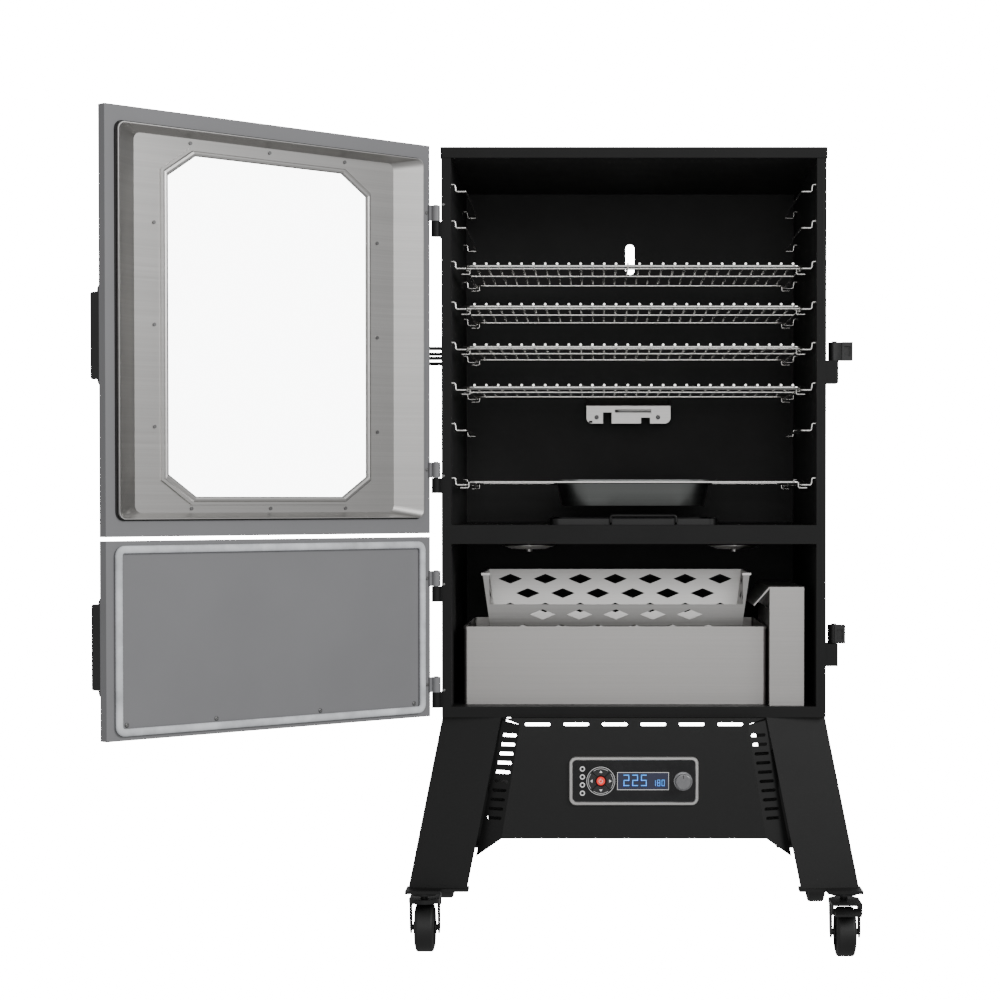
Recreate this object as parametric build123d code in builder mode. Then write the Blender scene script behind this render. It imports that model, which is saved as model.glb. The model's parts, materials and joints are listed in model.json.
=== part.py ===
from build123d import *
import os
from math import cos, radians, sin

# Electric cabinet smoker. Millimetres. +Z up, +X to the user's right, -Y towards the user.
# The origin is on the floor, below the centre of the cabinet. Both doors stand open at rest.

# --- Cabinet -----------------------------------------------------------------
CABINET_W = 500.0
CABINET_D = 405.0
WALL_T = 12.3
SHEET = 1.0
FLOOR_Z0 = 305.5
FLOOR_Z1 = 319.5
SHELF_Z0 = 531.5
SHELF_Z1 = 556.0
CEILING_Z = 1032.5
CAP_TOP_Z = 1046.5
CAP_PROUD = 1.3
FRONT_Y = -CABINET_D / 2
BACK_Y = CABINET_D / 2
HALF_W = CABINET_W / 2
INNER_HALF_W = HALF_W - WALL_T
INNER_BACK_Y = BACK_Y - WALL_T
VENT_W = 13.0
VENT_H = 45.0
VENT_Z = 938.5
SMOKE_HOLE_R = 28.0
SMOKE_HOLE_X = 142.0

# --- Racks and rails ---------------------------------------------------------
RAIL_PITCH = 52.75
RAIL_LEVELS = [608.5] + [679.5 + RAIL_PITCH * i for i in range(6)] + [990.5]
RACK_LEVELS = RAIL_LEVELS[2:6]
PAN_RACK_LEVEL = RAIL_LEVELS[0]
RAIL_R = 1.4
RAIL_RISE = 9.0
RAIL_REACH = 19.0
RAIL_Y0 = FRONT_Y + 14.0
RAIL_Y1 = FRONT_Y + 325.0
ROD_R = 1.85
CROSS_ROD_R = 1.6
WIRE_R = 1.5
RACK_HALF_W = 221.6
RACK_Y0 = FRONT_Y + 19.0
RACK_Y1 = FRONT_Y + 322.0
RACK_CORNER_R = 14.0
RACK_LIFT = RAIL_R + ROD_R + 0.35
WIRE_COUNT = 28
WIRE_PITCH = 15.4
WIRE_SINK = 0.5
FOOT_R = 1.25
FOOT_INSET = 36.0

# --- Doors -------------------------------------------------------------------
HINGE_X = -HALF_W - 7.0
HINGE_Y = FRONT_Y - 4.0
OPEN_DEG = 134.7
DOOR_GAP = 4.0
DOOR_T = 16.0
DOOR_S0 = 7.0
DOOR_S1 = 507.0
DOOR_MID_S = (DOOR_S0 + DOOR_S1) / 2
DOOR_SHEET = 1.2
DOOR_EDGE_R = 5.0
UPPER_DOOR_Z0 = 545.5
UPPER_DOOR_Z1 = 1047.0
LOWER_DOOR_Z0 = 307.5
LOWER_DOOR_Z1 = 540.8
CAP_BAND = 20.0
LINER_HALF_W = 235.0
LINER_Z0 = 566.0
LINER_Z1 = 1027.6
LINER_PROUD = 6.0
LINER_DEPTH = 20.4
LINER_SLOPE_W = 35.0
LINER_SLOPE_H = 4.0
LINER_CORNER_R = 9.0
WINDOW_HALF_W = 154.0
WINDOW_Z0 = 592.0
WINDOW_Z1 = 1000.0
WINDOW_CUT_W = 40.0
WINDOW_CUT_H = 26.0
BEAD_W = 9.0
KNUCKLE_R = 5.8
PIN_R = 3.0
RUNNING_GAP = 0.06
KNUCKLE_H = 20.0
KNUCKLE_SPLIT = 0.4
KNUCKLE_Z = [950.0, 617.5, 476.5, 338.5]
HANDLE_S0 = 474.0
HANDLE_S1 = 503.0
HANDLE_OUT = 20.0
UPPER_HANDLE_Z = (729.5, 831.7)
LOWER_HANDLE_Z = (365.5, 466.8)

# --- Stand -------------------------------------------------------------------
LEG_SHEET = 2.0
LEG_TOP_Z = FLOOR_Z0
LEG_FOOT_Z = 84.0
FOOT_T = 4.0
LEG_SPLAY_X = 44.0
LEG_SPLAY_Y = 16.0
CASTER_X = 272.0
CASTER_FRONT_Y = FRONT_Y - 20.0
CASTER_REAR_Y = BACK_Y + 20.0
WHEEL_R = 32.0
WHEEL_W = 24.0
CASTER_TRAIL = 17.0
FORK_W = 39.0
AXLE_R = 4.0
APRON_Y = FRONT_Y - 12.0
APRON_T = 2.0
PANEL_Z = 224.0
PANEL_W = 168.0
PANEL_H = 63.0
FACE_T = 3.0
PAD_X = -43.0
PAD_R = 17.0
POWER_R = 5.5
KNOB_X = 63.8
KNOB_R = 10.5
DISPLAY_X = 11.8
DISPLAY_W = 67.0
DISPLAY_H = 23.0
KEY_GAP = 0.35
KEY_PROUD = 1.0

# --- Heat and smoke ----------------------------------------------------------
BOX_X0 = -223.0
BOX_X1 = 175.0
BOX_Y0 = FRONT_Y + 40.0
BOX_Y1 = FRONT_Y + 307.0
BOX_Z1 = 422.0
BASKET_X = -22.5
BASKET_Y = FRONT_Y + 157.5
BASKET_W = 355.0
BASKET_D = 185.0
BASKET_Z0 = 400.0
BASKET_Z1 = 492.0
BASKET_FRONT_Z = 450.0
BASKET_TAPER = 12.5
DIAMOND_W = 33.6
DIAMOND_H = 13.6
DIAMOND_PITCH = 48.9
DIAMOND_ROW = 20.0

os.makedirs("parts", exist_ok=True)


def save(part, name):
    """Label one finished piece and write its STEP file."""
    part.label = name
    export_step(part, f"parts/{name}.step")


def box_between(x0, x1, y0, y1, z0, z1, mode=Mode.ADD):
    """Add or cut a block given by its two corners."""
    with BuildSketch(Plane.XY.offset(z0)) as outline:
        with Locations(((x0 + x1) / 2, (y0 + y1) / 2)):
            Rectangle(x1 - x0, y1 - y0)
    extrude(outline.sketch, amount=z1 - z0, mode=mode)


def wire(points, wire_r, bend_r):
    """Sweep a round wire along straight runs joined by tangent bends."""
    with BuildLine() as path:
        FilletPolyline(*points, radius=bend_r)
    with BuildSketch(path.line ^ 0) as section:
        Circle(wire_r)
    sweep(section.sketch, path=path.line)


def front_plane(y):
    """Sketch plane facing the user: x runs to +X, y to +Z, extrusions go towards the user."""
    return Plane(origin=(0, y, 0), x_dir=(1, 0, 0), z_dir=(0, -1, 0))


# --- Cabinet casing ----------------------------------------------------------
def cut_vent():
    """Cut the smoke outlet slot through whatever back wall is in the current part."""
    with BuildSketch(front_plane(BACK_Y + 1)) as slot:
        with Locations((0, VENT_Z)):
            SlotOverall(VENT_H, VENT_W, rotation=90)
    extrude(slot.sketch, amount=WALL_T + 3, mode=Mode.SUBTRACT)


with BuildPart() as outer_wrap:
    box_between(-HALF_W, HALF_W, FRONT_Y, BACK_Y, FLOOR_Z0, CEILING_Z)
    box_between(-HALF_W + SHEET, HALF_W - SHEET, FRONT_Y + SHEET, BACK_Y - SHEET,
                FLOOR_Z0, CEILING_Z, Mode.SUBTRACT)
    box_between(-INNER_HALF_W, INNER_HALF_W, FRONT_Y, FRONT_Y + SHEET,
                FLOOR_Z0, CEILING_Z, Mode.SUBTRACT)
    cut_vent()
save(outer_wrap.part, "outer_wrap")

with BuildPart() as insulation:
    for side in (-1, 1):
        inner_x = side * (INNER_HALF_W + SHEET)
        outer_x = side * (HALF_W - SHEET)
        box_between(min(inner_x, outer_x), max(inner_x, outer_x), FRONT_Y + SHEET,
                    INNER_BACK_Y + SHEET, FLOOR_Z0, CEILING_Z)
    box_between(-HALF_W + SHEET, HALF_W - SHEET, INNER_BACK_Y + SHEET + 0.2,
                BACK_Y - SHEET, FLOOR_Z0, CEILING_Z)
    cut_vent()
    box_between(-HALF_W + SHEET, HALF_W - SHEET, FRONT_Y + SHEET, BACK_Y - SHEET,
                CEILING_Z + SHEET, CAP_TOP_Z - SHEET)
save(insulation.part, "cabinet_insulation")

with BuildPart() as liners:
    for low, high in ((FLOOR_Z0, SHELF_Z0), (SHELF_Z1, CEILING_Z)):
        box_between(-INNER_HALF_W - SHEET, INNER_HALF_W + SHEET, FRONT_Y + SHEET,
                    INNER_BACK_Y + SHEET, low, high)
        box_between(-INNER_HALF_W, INNER_HALF_W, FRONT_Y + SHEET, INNER_BACK_Y,
                    low, high, Mode.SUBTRACT)
    box_between(-INNER_HALF_W - SHEET, INNER_HALF_W + SHEET, FRONT_Y + SHEET,
                INNER_BACK_Y + SHEET, CEILING_Z, CEILING_Z + SHEET)
    cut_vent()
save(liners.part, "chamber_liners")

with BuildPart() as top_cap:
    box_between(-HALF_W - CAP_PROUD, HALF_W + CAP_PROUD, FRONT_Y - CAP_PROUD,
                BACK_Y + CAP_PROUD, CEILING_Z, CAP_TOP_Z)
    box_between(-HALF_W + SHEET, HALF_W - SHEET, FRONT_Y + SHEET, BACK_Y - SHEET,
                CEILING_Z, CAP_TOP_Z - SHEET, Mode.SUBTRACT)
    upright = top_cap.edges().filter_by(Axis.Z).group_by(SortBy.LENGTH)[-1]
    fillet(upright, 3.0)
save(top_cap.part, "top_cap")

with BuildPart() as shelf:
    box_between(-INNER_HALF_W, INNER_HALF_W, FRONT_Y, INNER_BACK_Y, SHELF_Z0, SHELF_Z1)
    box_between(-INNER_HALF_W + SHEET, INNER_HALF_W - SHEET, FRONT_Y + SHEET, INNER_BACK_Y,
                SHELF_Z0 + SHEET, SHELF_Z1 - SHEET, Mode.SUBTRACT)
    with BuildSketch(Plane.XY.offset(SHELF_Z0)):
        with Locations((-SMOKE_HOLE_X, 0), (SMOKE_HOLE_X, 0)):
            Circle(SMOKE_HOLE_R + SHEET)
    extrude(amount=SHELF_Z1 - SHELF_Z0)
    with BuildSketch(Plane.XY.offset(SHELF_Z0)):
        with Locations((-SMOKE_HOLE_X, 0), (SMOKE_HOLE_X, 0)):
            Circle(SMOKE_HOLE_R)
    extrude(amount=SHELF_Z1 - SHELF_Z0, mode=Mode.SUBTRACT)
save(shelf.part, "divider_shelf")

ELEMENT_X = (-120.0, 75.0)
ELEMENT_Y = BOX_Y1 - 50.0
ELEMENT_R = 4.0
ELEMENT_HOLE_R = 4.6
with BuildPart() as floor_pan:
    box_between(-INNER_HALF_W, INNER_HALF_W, FRONT_Y, INNER_BACK_Y, FLOOR_Z0, FLOOR_Z1)
    box_between(-INNER_HALF_W + SHEET, INNER_HALF_W - SHEET, FRONT_Y + SHEET,
                INNER_BACK_Y - SHEET, FLOOR_Z0, FLOOR_Z1 - SHEET, Mode.SUBTRACT)
    with BuildSketch(Plane.XY.offset(FLOOR_Z0)):
        with Locations(*[(x, ELEMENT_Y) for x in ELEMENT_X]):
            Circle(ELEMENT_HOLE_R)
    extrude(amount=FLOOR_Z1 - FLOOR_Z0, mode=Mode.SUBTRACT)
save(floor_pan.part, "floor_pan")

# --- Rack rails --------------------------------------------------------------
with BuildPart() as rails:
    for level in RAIL_LEVELS:
        for side in (-1, 1):
            wall_x = side * INNER_HALF_W
            bend_x = side * (INNER_HALF_W - 4.6)
            run_x = side * (INNER_HALF_W - RAIL_REACH)
            wire([(wall_x, RAIL_Y0, level + RAIL_RISE), (bend_x, RAIL_Y0, level + RAIL_RISE),
                  (bend_x - side, RAIL_Y0, level), (run_x, RAIL_Y0, level),
                  (run_x, RAIL_Y1, level), (bend_x - side, RAIL_Y1, level),
                  (bend_x, RAIL_Y1, level + RAIL_RISE), (wall_x, RAIL_Y1, level + RAIL_RISE)],
                 RAIL_R, 2.2)
save(rails.part, "rack_rails")


# --- Cooking racks -----------------------------------------------------------
def rack_frame(level):
    """Closed perimeter rod with rounded corners, centred in height on the rail level."""
    rod_z = level + RACK_LIFT
    for side in (-1, 1):
        wire([(0, RACK_Y0, rod_z), (side * RACK_HALF_W, RACK_Y0, rod_z),
              (side * RACK_HALF_W, RACK_Y1, rod_z), (0, RACK_Y1, rod_z)], ROD_R, RACK_CORNER_R)


def cross_rod(y, z):
    """Straight rod from one long side to the other."""
    with BuildSketch(Plane(origin=(-RACK_HALF_W, y, z), x_dir=(0, 1, 0), z_dir=(1, 0, 0))) as end:
        Circle(CROSS_ROD_R)
    extrude(end.sketch, amount=2 * RACK_HALF_W)


def anti_tip_feet(level, front_y):
    """Four hooks that drop inside the rail and turn outwards below it."""
    foot_x = INNER_HALF_W - RAIL_REACH - RAIL_R - FOOT_R - 0.5
    foot_z = level - RAIL_R - FOOT_R - 1.2
    for y in (front_y, RACK_Y1):
        for side in (-1, 1):
            rod_z = level + RACK_LIFT
            wire([(side * foot_x, y, rod_z), (side * foot_x, y, foot_z),
                  (side * (foot_x + 11.0), y, foot_z)], FOOT_R, 2.0)


def build_rack(level, name):
    """One wire grill: perimeter, middle rod, depth wires and anti-tip hooks."""
    rod_z = level + RACK_LIFT
    wire_z = rod_z + ROD_R + WIRE_R - WIRE_SINK
    with BuildPart() as rack:
        rack_frame(level)
        cross_rod((RACK_Y0 + RACK_Y1) / 2, rod_z)
        cross_rod(RACK_Y0 + FOOT_INSET, rod_z)
        with BuildSketch(front_plane(RACK_Y1 + 2)):
            with Locations((0, wire_z)):
                with GridLocations(WIRE_PITCH, 1, WIRE_COUNT, 1):
                    Circle(WIRE_R)
        extrude(amount=RACK_Y1 - RACK_Y0 + 4)
        anti_tip_feet(level, RACK_Y0 + FOOT_INSET)
    save(rack.part, name)


for number, rack_level in enumerate(RACK_LEVELS, 1):
    build_rack(rack_level, f"cooking_rack_{number}")

PAN_HALF_W = 110.5
PAN_BOTTOM_HALF_W = 102.5
PAN_Y0 = FRONT_Y + 32.0
PAN_Y1 = FRONT_Y + 300.0
PAN_DEPTH = 34.0
PAN_CORNER_R = 38.0
PAN_RIM_Z = PAN_RACK_LEVEL + 6.0
with BuildPart() as pan_rack:
    rack_frame(PAN_RACK_LEVEL)
    pan_rod_z = PAN_RACK_LEVEL + RACK_LIFT
    for side in (-1, 1):
        rod_x = side * (PAN_HALF_W + ROD_R - 7.0)
        with BuildSketch(Plane.XZ.offset(-RACK_Y1)):
            with Locations((rod_x, pan_rod_z)):
                Circle(CROSS_ROD_R)
        extrude(amount=RACK_Y1 - RACK_Y0)
    anti_tip_feet(PAN_RACK_LEVEL, RACK_Y0)
save(pan_rack.part, "pan_rack")


def pan_outline(half_w, z, inset=0.0):
    """Rounded rectangle of the water pan at one height."""
    length = PAN_Y1 - PAN_Y0 - 2 * (inset + PAN_HALF_W - half_w)
    with BuildSketch(Plane.XY.offset(z)) as outline:
        with Locations((0, (PAN_Y0 + PAN_Y1) / 2)):
            RectangleRounded(2 * (half_w - inset), length, PAN_CORNER_R)
    return outline.sketch.face()


with BuildPart() as water_pan:
    rim_top = pan_rod_z + ROD_R + 0.3 + SHEET
    wall_half_w = PAN_HALF_W - 8.5
    foot_half_w = PAN_BOTTOM_HALF_W - 8.0
    loft([pan_outline(foot_half_w, rim_top - PAN_DEPTH), pan_outline(wall_half_w, rim_top)])
    extrude(pan_outline(PAN_HALF_W, rim_top - SHEET), amount=SHEET)
    loft([pan_outline(foot_half_w, rim_top - PAN_DEPTH + SHEET, SHEET),
          pan_outline(wall_half_w, rim_top, SHEET)], mode=Mode.SUBTRACT)
save(water_pan.part, "water_pan")

# --- Drip tray ---------------------------------------------------------------
TRAY_HALF_W = 110.0
TRAY_Y0 = FRONT_Y + 12.0
TRAY_Y1 = FRONT_Y + 330.0
TRAY_H = 8.0
TRAY_Z0 = SHELF_Z1 + 0.3
with BuildPart() as drip_tray:
    box_between(-TRAY_HALF_W, TRAY_HALF_W, TRAY_Y0, TRAY_Y1, TRAY_Z0, TRAY_Z0 + TRAY_H)
    fillet(drip_tray.edges().filter_by(Axis.Z), 12)
    offset(amount=-SHEET, openings=drip_tray.faces().sort_by(Axis.Z)[-1])
    bar_y = FRONT_Y + 3.0
    wire([(-30.0, TRAY_Y0 + 0.5, TRAY_Z0 + 2.0), (-30.0, bar_y, TRAY_Z0 + 2.0),
          (-30.0, bar_y, TRAY_Z0 + 12.0), (55.0, bar_y, TRAY_Z0 + 12.0),
          (55.0, bar_y, TRAY_Z0 + 2.0), (55.0, TRAY_Y0 + 0.5, TRAY_Z0 + 2.0)], 1.7, 2.5)
save(drip_tray.part, "drip_tray")

# --- Temperature probe and its guard -----------------------------------------
GUARD_X0 = -63.0
GUARD_X1 = 58.0
GUARD_Z0 = 699.0
GUARD_Z1 = 724.0
GUARD_ROOF_Z = 737.0
GUARD_Y = INNER_BACK_Y - 34.0
PROBE_Z = 717.0
with BuildPart() as probe_guard:
    with BuildSketch(Plane.YZ.offset(GUARD_X0)):
        with BuildLine():
            Polyline((GUARD_Y, GUARD_Z0), (GUARD_Y, GUARD_Z1), (INNER_BACK_Y - SHEET, GUARD_ROOF_Z),
                     (INNER_BACK_Y - SHEET, GUARD_ROOF_Z - 14), (INNER_BACK_Y, GUARD_ROOF_Z - 14),
                     (INNER_BACK_Y, GUARD_ROOF_Z + SHEET), (INNER_BACK_Y - SHEET, GUARD_ROOF_Z + SHEET),
                     (GUARD_Y - SHEET, GUARD_Z1 + 0.4), (GUARD_Y - SHEET, GUARD_Z0), close=True)
        make_face()
    extrude(amount=GUARD_X1 - GUARD_X0)
    corners = probe_guard.edges().filter_by(Axis.Y).group_by(Axis.Z)[0]
    fillet(corners, 8.0)
    with BuildSketch(front_plane(GUARD_Y + 1)):
        with Locations((-33.0, GUARD_Z0 + 6)):
            Rectangle(12.5, 20)
        with Locations((-57.0, 701.5)):
            Rectangle(5, 3)
        with Locations((22.0, 701.0)):
            Rectangle(13, 13)
        with Locations((-20.0, PROBE_Z)):
            Circle(2.4)
    extrude(amount=3, mode=Mode.SUBTRACT)
save(probe_guard.part, "probe_guard")

with BuildPart() as probe:
    wire([(-20.0, INNER_BACK_Y, PROBE_Z), (-20.0, GUARD_Y - 6.0, PROBE_Z),
          (30.0, GUARD_Y - 6.0, PROBE_Z)], 2.0, 5.0)
    with BuildSketch(Plane.XZ.offset(-INNER_BACK_Y)):
        with Locations((-20.0, PROBE_Z)):
            Circle(6.0)
    extrude(amount=3.0)
save(probe.part, "temperature_probe")

# --- Smoke baffles under the shelf -------------------------------------------
BAFFLE_R = 37.0
BAFFLE_Z = 520.7
with BuildPart() as baffles:
    for x in (-SMOKE_HOLE_X, SMOKE_HOLE_X):
        with BuildSketch(Plane.XZ):
            with BuildLine():
                Polyline((x, BAFFLE_Z - 3), (x + 5, BAFFLE_Z - 3), (x + 5, BAFFLE_Z),
                         (x + 24, BAFFLE_Z + 0.8), (x + BAFFLE_R, BAFFLE_Z + 5.0),
                         (x + BAFFLE_R, BAFFLE_Z + 6.2), (x + 24, BAFFLE_Z + 2.0),
                         (x + 3, BAFFLE_Z + 1.4), (x + 3, SHELF_Z0 - 1.4), (x, SHELF_Z0 - 1.4),
                         close=True)
            make_face()
        revolve(axis=Axis((x, 0, 0), (0, 0, 1)))
        box_between(x - SMOKE_HOLE_R - 6, x + SMOKE_HOLE_R + 6, -5, 5, SHELF_Z0 - 1.6, SHELF_Z0)
save(baffles.part, "smoke_baffles")

# --- Heater box, element, basket and duct ------------------------------------
with BuildPart() as heater_box:
    box_between(BOX_X0, BOX_X1, BOX_Y0, BOX_Y1, FLOOR_Z1, BOX_Z1)
    fillet(heater_box.edges().filter_by(Axis.Z), 4)
    offset(amount=-SHEET, openings=heater_box.faces().sort_by(Axis.Z)[-1])
    with BuildSketch(Plane.XY.offset(BOX_Z1 - 3.2)):
        with Locations(((BOX_X0 + BOX_X1) / 2, (BOX_Y0 + BOX_Y1) / 2)):
            RectangleRounded(BOX_X1 - BOX_X0 + 2.4, BOX_Y1 - BOX_Y0 + 2.4, 5.2)
            RectangleRounded(BOX_X1 - BOX_X0 - 0.6, BOX_Y1 - BOX_Y0 - 0.6, 3.7, mode=Mode.SUBTRACT)
    extrude(amount=3.2)
    with BuildSketch(Plane.XY.offset(FLOOR_Z1)):
        with Locations(*[(x, ELEMENT_Y) for x in ELEMENT_X]):
            Circle(ELEMENT_HOLE_R)
    extrude(amount=5, mode=Mode.SUBTRACT)
save(heater_box.part, "heater_box")

with BuildPart() as element:
    low_z = FLOOR_Z0 + 1.0
    run_z = FLOOR_Z1 + 40.0
    near_y = BOX_Y0 + 45.0
    x0, x1 = ELEMENT_X
    inner = (x1 - x0) / 3
    wire([(x0, ELEMENT_Y, low_z), (x0, ELEMENT_Y, run_z), (x0, near_y, run_z),
          (x0 + inner, near_y, run_z), (x0 + inner, ELEMENT_Y - 30, run_z),
          (x1 - inner, ELEMENT_Y - 30, run_z), (x1 - inner, near_y, run_z),
          (x1, near_y, run_z), (x1, ELEMENT_Y, run_z), (x1, ELEMENT_Y, low_z)], ELEMENT_R, 18)
    for x in ELEMENT_X:
        with BuildSketch(Plane.XY.offset(FLOOR_Z1 + SHEET)):
            with Locations((x, ELEMENT_Y)):
                RegularPolygon(8.5, 6)
        extrude(amount=6)
save(element.part, "heating_element")


def diamond_rows(half_span, rows, z_top):
    """Staggered rows of diamond openings, drawn in the current sketch."""
    for row in range(rows):
        shift = DIAMOND_PITCH / 2 if row % 2 else 0.0
        count = int(half_span / DIAMOND_PITCH) + 1
        for i in range(-count, count + 1):
            x = i * DIAMOND_PITCH + shift
            if abs(x) + DIAMOND_W / 2 < half_span:
                z = z_top - row * DIAMOND_ROW
                with Locations((x, z)):
                    Polygon((-DIAMOND_W / 2, 0), (0, DIAMOND_H / 2),
                            (DIAMOND_W / 2, 0), (0, -DIAMOND_H / 2))


def basket_outline(z, grow):
    """Basket section at one height, with straight tapered sides."""
    share = (z - BASKET_Z0) / (BASKET_Z1 - BASKET_Z0)
    inset = BASKET_TAPER * (1 - share) - grow
    with BuildSketch(Plane.XY.offset(z)) as outline:
        with Locations((BASKET_X, BASKET_Y)):
            Rectangle(BASKET_W - 2 * inset, BASKET_D - 2 * inset)
    return outline.sketch.face()


with BuildPart() as basket:
    loft([basket_outline(BASKET_Z0, 0.0), basket_outline(BASKET_Z1, 0.0)])
    loft([basket_outline(BASKET_Z0 + SHEET, -SHEET), basket_outline(BASKET_Z1, -SHEET)],
         mode=Mode.SUBTRACT)
    front_edge = BASKET_Y - BASKET_D / 2
    box_between(BASKET_X - BASKET_W / 2 + 9, BASKET_X + BASKET_W / 2 - 9,
                front_edge - 1, front_edge + 14, BASKET_FRONT_Z, BASKET_Z1 + 1, Mode.SUBTRACT)
    with BuildSketch(front_plane(BASKET_Y + BASKET_D / 2 + 1)):
        with Locations((BASKET_X, 0)):
            diamond_rows(BASKET_W / 2 - 6, 4, BASKET_Z1 - 13.5)
    extrude(amount=BASKET_TAPER + 6, mode=Mode.SUBTRACT)
    with BuildSketch(front_plane(front_edge + BASKET_TAPER + 4)):
        with Locations((BASKET_X, 0)):
            diamond_rows(BASKET_W / 2 - 14, 2, BASKET_FRONT_Z - 13.5)
    extrude(amount=BASKET_TAPER + 6, mode=Mode.SUBTRACT)
    with BuildSketch(Plane.YZ.offset(BASKET_X - BASKET_W / 2 - 1)):
        with Locations((BASKET_Y, 0)):
            diamond_rows(BASKET_D / 2 - 14, 4, BASKET_Z1 - 13.5)
    extrude(amount=BASKET_W + 2, mode=Mode.SUBTRACT)
    with BuildSketch(Plane.XY.offset(BASKET_Z1 - 3)):
        with Locations((BASKET_X, BASKET_Y)):
            Rectangle(BASKET_W + 3, BASKET_D + 3)
            Rectangle(BASKET_W - 2, BASKET_D - 2, mode=Mode.SUBTRACT)
        with Locations((BASKET_X, front_edge)):
            Rectangle(BASKET_W - 20, 10, mode=Mode.SUBTRACT)
    extrude(amount=3)
save(basket.part, "chip_basket")

DUCT_X0 = 178.0
DUCT_X1 = 223.0
DUCT_Y0 = FRONT_Y + 16.0
DUCT_Y1 = FRONT_Y + 256.0
DUCT_Z1 = 475.0
with BuildPart() as duct:
    box_between(DUCT_X0, DUCT_X1, DUCT_Y0, DUCT_Y1, FLOOR_Z1, DUCT_Z1)
    box_between(DUCT_X0 + SHEET, DUCT_X1 - SHEET, DUCT_Y0 + SHEET, DUCT_Y1 - SHEET,
                FLOOR_Z1, DUCT_Z1 - SHEET, Mode.SUBTRACT)
    box_between(DUCT_X0 - 1, DUCT_X0 + 3, DUCT_Y0 + 12, DUCT_Y1 - 12, DUCT_Z1 - 30, DUCT_Z1 - 6,
                Mode.SUBTRACT)
    with BuildSketch(front_plane(DUCT_Y1 - 4)):
        with BuildLine():
            Polyline((DUCT_X0 + 1, DUCT_Z1), (DUCT_X0 + 1, DUCT_Z1 - 1.6), (DUCT_X0 - 20, DUCT_Z1 - 25),
                     (DUCT_X0 - 21, DUCT_Z1 - 24), (DUCT_X0 - 0.4, DUCT_Z1), close=True)
        make_face()
    extrude(amount=DUCT_Y1 - DUCT_Y0 - 8)
save(duct.part, "air_duct")


# --- Doors -------------------------------------------------------------------
OPEN = radians(OPEN_DEG)
ALONG = (cos(OPEN), -sin(OPEN), 0)
OUTWARD = (-sin(OPEN), -cos(OPEN), 0)


def door_plane(out):
    """Plane parallel to the open door's inner face: x is the distance from the hinge axis,
    y is height, and extrusions go outwards. The inner face is at out = 0."""
    base = Plane(origin=(HINGE_X, HINGE_Y, 0), x_dir=ALONG, z_dir=OUTWARD)
    return base.offset(out + DOOR_GAP)


def door_block(s0, s1, z0, z1, out0, out1, corner=0.0, mode=Mode.ADD):
    """Block in door coordinates, with optional rounded corners in the door's plane."""
    with BuildSketch(door_plane(out0)) as outline:
        with Locations(((s0 + s1) / 2, (z0 + z1) / 2)):
            if corner:
                RectangleRounded(s1 - s0, z1 - z0, corner)
            else:
                Rectangle(s1 - s0, z1 - z0)
    extrude(outline.sketch, amount=out1 - out0, mode=mode)


def octagon(grow, corner=0.0):
    """Window outline with four cut corners, in the current door sketch."""
    half = WINDOW_HALF_W + grow
    z0 = WINDOW_Z0 - grow
    z1 = WINDOW_Z1 + grow
    side = WINDOW_CUT_W + grow * 0.35
    rise = WINDOW_CUT_H + grow * 0.35
    mid = DOOR_MID_S
    return Polygon((mid - half, z0 + rise), (mid - half + side, z0), (mid + half - side, z0),
                   (mid + half, z0 + rise), (mid + half, z1 - rise), (mid + half - side, z1),
                   (mid - half + side, z1), (mid - half, z1 - rise), align=None)


def door_pan(z0, z1, flange_s, flange_z):
    """Pressed outer pan with rounded outer edges and an inner return flange."""
    floor_plan = Plane(origin=(HINGE_X, HINGE_Y, z0), x_dir=ALONG, z_dir=(0, 0, 1))
    with BuildSketch(floor_plan) as section:
        with Locations((DOOR_MID_S, -DOOR_GAP - DOOR_T / 2)):
            Rectangle(DOOR_S1 - DOOR_S0, DOOR_T)
        fillet(section.vertices().group_by(Axis.Y)[0], DOOR_EDGE_R)
    extrude(section.sketch, amount=z1 - z0)
    door_block(DOOR_S0 + DOOR_SHEET, DOOR_S1 - DOOR_SHEET, z0 + DOOR_SHEET, z1 - DOOR_SHEET,
               DOOR_SHEET, DOOR_T - DOOR_SHEET, mode=Mode.SUBTRACT)
    door_block(DOOR_S0 + flange_s, DOOR_S1 - flange_s, z0 + flange_z, z1 - flange_z,
               0, DOOR_SHEET, mode=Mode.SUBTRACT)


def knuckles(z_list, upper):
    """Door or cabinet halves of the hinge knuckles, bored for or fused to the pin."""
    for z in z_list:
        low = z + KNUCKLE_SPLIT / 2 if upper else z - KNUCKLE_H
        height = KNUCKLE_H - KNUCKLE_SPLIT / 2
        with BuildSketch(Plane.XY.offset(low)) as barrel:
            with Locations((HINGE_X, HINGE_Y)):
                Circle(KNUCKLE_R)
        extrude(barrel.sketch, amount=height)


def door_knuckles(z_list):
    """Door halves of the hinges: upper barrels with a leaf on the door, bored for the pins."""
    knuckles(z_list, True)
    for z in z_list:
        door_block(0.0, DOOR_S0 + 3, z + 0.4, z + KNUCKLE_H, -2.6, 0.0)
    for z in z_list:
        with BuildSketch(Plane.XY.offset(z - 1)) as bore:
            with Locations((HINGE_X, HINGE_Y)):
                Circle(PIN_R + RUNNING_GAP)
        extrude(bore.sketch, amount=KNUCKLE_H + 2, mode=Mode.SUBTRACT)


def cap_grooves(z0, z1):
    """Seams between the door skin and its top and bottom end caps."""
    for z in (z0 + CAP_BAND, z1 - CAP_BAND):
        door_block(DOOR_S0 - 1, DOOR_S1 + 1, z - 0.4, z + 0.4, DOOR_T - 0.6, DOOR_T + 1,
                   mode=Mode.SUBTRACT)


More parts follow.
